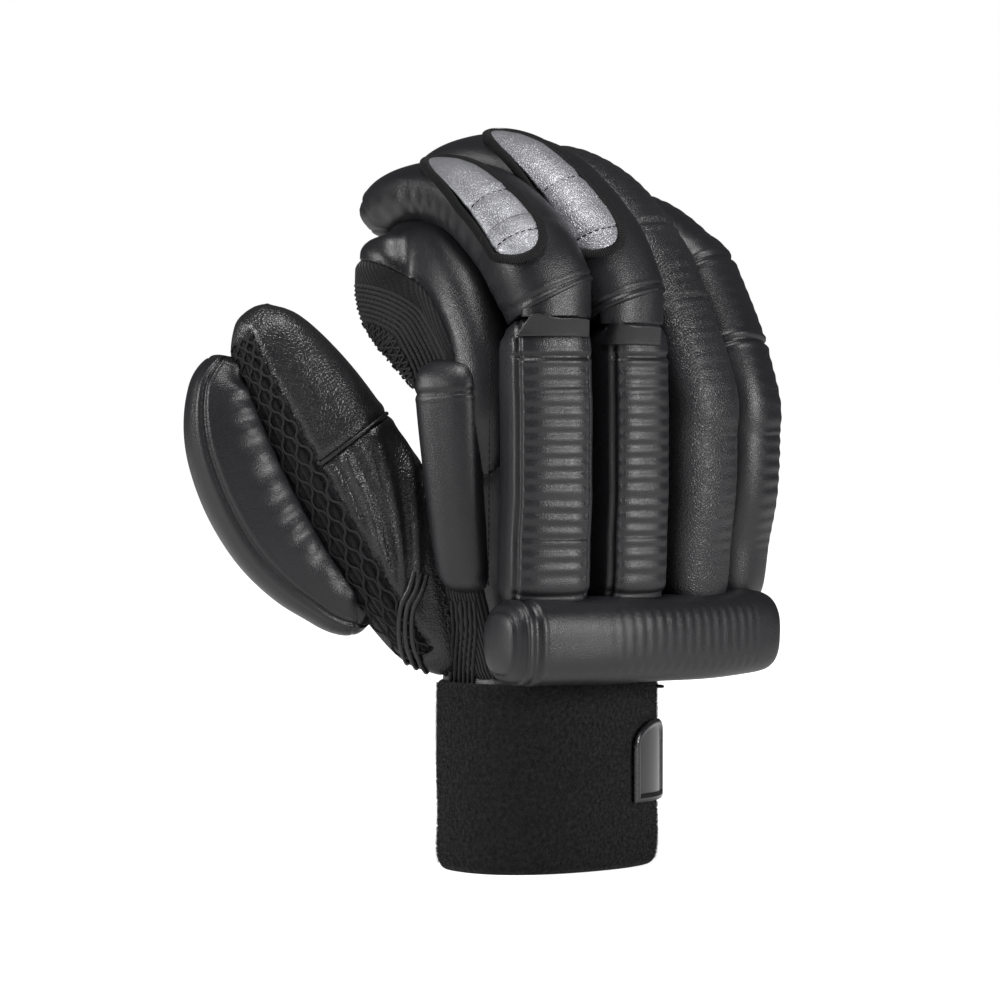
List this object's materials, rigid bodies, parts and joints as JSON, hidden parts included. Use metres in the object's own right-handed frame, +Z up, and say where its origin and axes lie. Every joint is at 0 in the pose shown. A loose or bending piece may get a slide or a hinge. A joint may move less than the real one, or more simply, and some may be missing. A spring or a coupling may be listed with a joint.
{
  "type": "cricket batting glove",
  "caption": "Right-hand padded batting glove with long padded fingers, a separate padded thumb, a wrist roll and an open fleece cuff that it stands on.",
  "frame": {"origin": "in the plane of the cuff's lower rim, under the middle of the glove's bounding box", "axes": "+Z up from the cuff to the fingers, -Y out of the back of the hand, -X to the thumb side, fingers curled over towards +Y"},
  "size_m": [0.1836, 0.1256, 0.2466],
  "materials": {
    "smooth_leather": "satin black coated leather over foam",
    "grained_leather": "black leather with a pebbled grain",
    "silver_leather": "silver-grey metallic coated leather",
    "knit": "matte black ribbed knit with eyelets",
    "mesh": "matte black open mesh",
    "fleece": "matte black fleece",
    "binding": "matte black thread and tape",
    "moulding": "glossy dark grey moulded badge, plain"
  },
  "bodies": {
    "root": {"cuff": "fleece", "wrist_roll": "smooth_leather", "back_panel": "smooth_leather", "side_strip": "smooth_leather", "wrist_panel": "smooth_leather", "palm_leather": "grained_leather", "palm_heel": "grained_leather", "wrist_gusset": "knit", "thumb_mesh": "mesh", "thumb_cap": "grained_leather", "thumb_leather": "grained_leather", "index_stall": "smooth_leather", "middle_stall": "smooth_leather", "ring_stall": "smooth_leather", "little_stall": "smooth_leather", "index_gusset": "knit", "index_back_bar": "smooth_leather", "index_finger_pad": "smooth_leather", "middle_back_bar": "smooth_leather", "middle_finger_pad": "smooth_leather", "ring_pad": "grained_leather", "little_pad": "smooth_leather", "index_patch": "silver_leather", "index_binding": "binding", "middle_patch": "silver_leather", "middle_binding": "binding", "side_bar": "smooth_leather", "thumb_pad": "smooth_leather", "badge": "moulding", "cuff_loop": "binding"}
  },
  "joints": []
}
